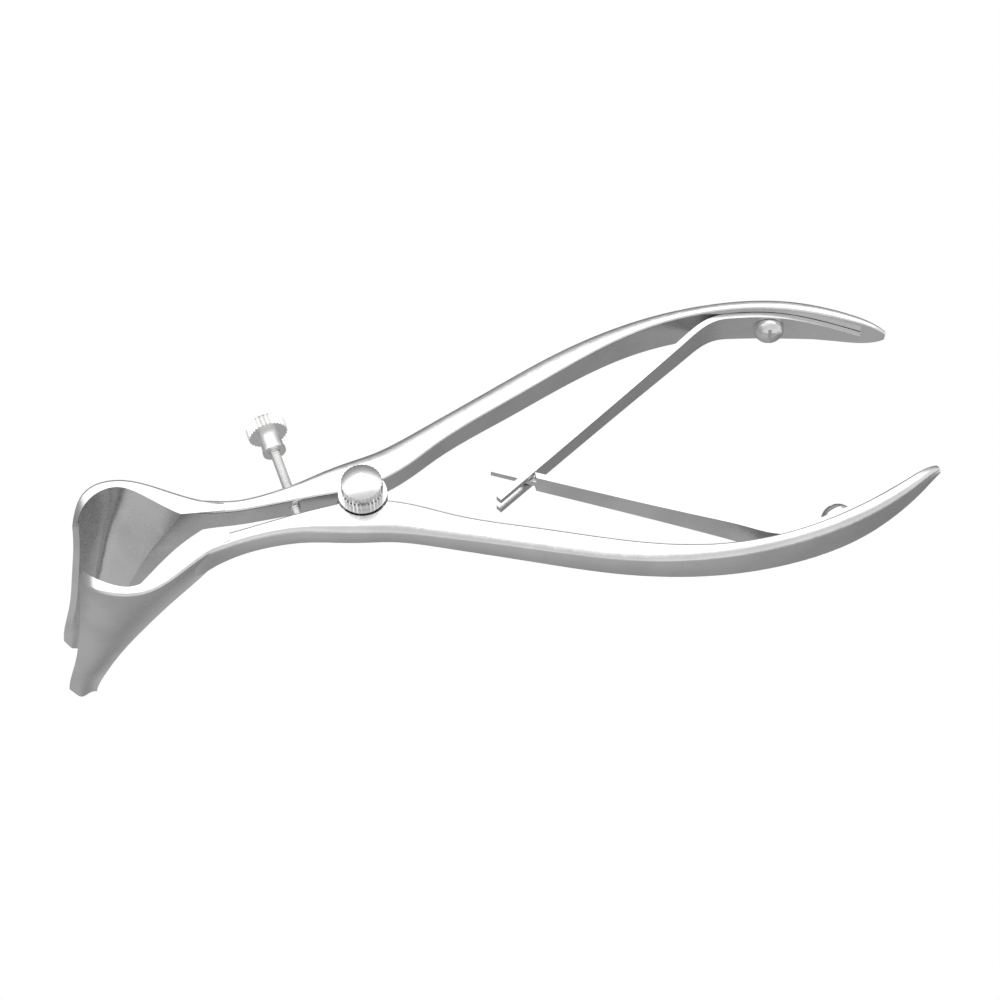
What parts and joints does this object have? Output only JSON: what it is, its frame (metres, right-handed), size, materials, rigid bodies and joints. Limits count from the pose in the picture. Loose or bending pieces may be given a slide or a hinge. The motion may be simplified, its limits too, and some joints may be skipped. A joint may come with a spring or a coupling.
{
  "type": "nasal speculum",
  "caption": "Hand-held nasal speculum: half-funnel blades on lap-jointed sprung handles, with a knurled joint screw and a set screw that holds the spread.",
  "frame": {"origin": "on the hinge axis, at the flat underside of the lap joint", "axes": "+X along the instrument towards the handles' ends, +Y towards the arm that carries the set screw, +Z along the hinge axis out of the joint screw's head; the blades point down, along -Z"},
  "size_m": [0.14, 0.0472, 0.0428],
  "materials": {
    "arm_steel": "satin stainless steel",
    "spring_steel": "satin spring steel",
    "screw_steel": "polished stainless steel"
  },
  "bodies": {
    "lower_side": {"lower_arm": "arm_steel", "lower_spring": "spring_steel", "lower_spring_screw": "screw_steel"},
    "upper_side": {"upper_arm": "arm_steel", "upper_spring": "spring_steel", "upper_spring_screw": "screw_steel"},
    "joint_screw": {"joint_screw": "screw_steel"},
    "set_screw_rod": {"set_screw_rod": "screw_steel"},
    "set_screw_head": {"set_screw_head": "screw_steel"}
  },
  "joints": [
    {"name": "arm_hinge", "type": "hinge", "parent": "lower_side", "child": "upper_side", "pos_m": [0, 0, 0.0024], "axis": [0, 0, -1], "range_deg": [0, 15], "stiffness_Nm_per_rad": 1, "springref_deg": -11.46, "deforming": ["upper_spring", "lower_spring"]},
    {"name": "joint_screw_turn", "type": "hinge", "parent": "lower_side", "child": "joint_screw", "pos_m": [0, 0, 0.0024], "axis": [0, 0, 1], "range_deg": [-90, 90]},
    {"name": "set_screw_travel", "type": "slide", "parent": "upper_side", "child": "set_screw_rod", "axis": [-0.1392, 0.9903, 0], "range_m": [0, 0.003]},
    {"name": "set_screw_turn", "type": "hinge", "parent": "set_screw_rod", "child": "set_screw_head", "pos_m": [-0.0103, 0, 0.0024], "axis": [-0.1392, 0.9903, 0], "range_deg": [0, 2701]}
  ],
  "couplings": [
    {"joint": "set_screw_turn", "follows": "set_screw_travel", "rad_per_m": 15708}
  ]
}
